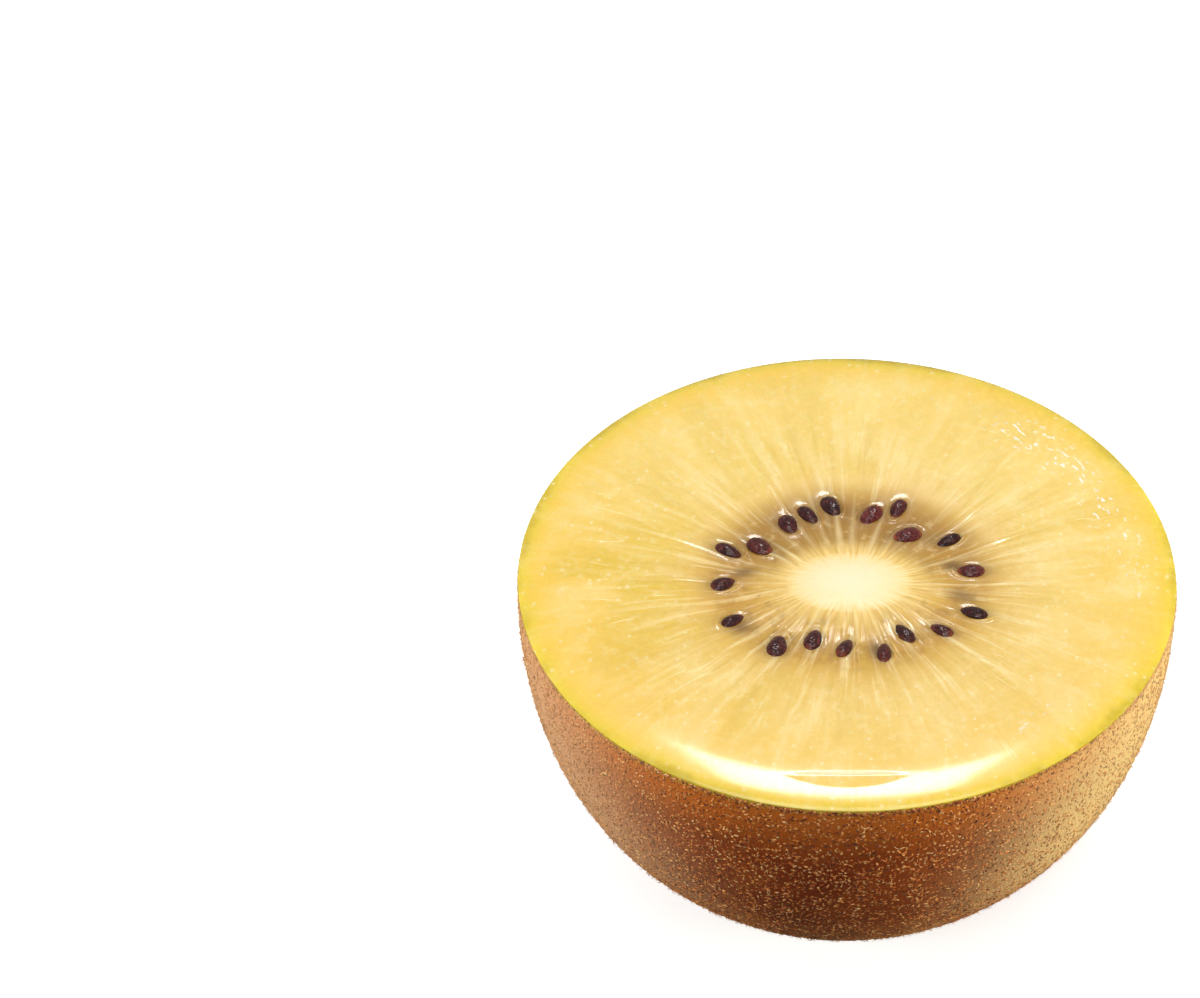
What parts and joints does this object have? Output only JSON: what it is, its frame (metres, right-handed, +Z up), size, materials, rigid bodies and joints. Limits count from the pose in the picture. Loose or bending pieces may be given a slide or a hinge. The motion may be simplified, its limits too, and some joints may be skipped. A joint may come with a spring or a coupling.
{
  "type": "golden kiwi fruit half",
  "caption": "Golden kiwi fruit half, cut across the middle: barrel-shaped brown skin, domed yellow cut face with a pale oval core in a ring of dark seeds, standing on its stem end.",
  "frame": {"origin": "middle of the small flat spot on the stem end that the half rests on", "axes": "+Z up the fruit's own axis and out of the cut face; +X along the wider way of the oval cut face and its oval core; +Y along the narrower way, away from the side that the picture shows"},
  "size_m": [0.054, 0.0512, 0.0324],
  "materials": {
    "flesh": "gloss",
    "skin": "matte",
    "seed": "gloss",
    "scar": "matte"
  },
  "bodies": {
    "root": {"kiwi_half": "flesh"}
  },
  "joints": []
}
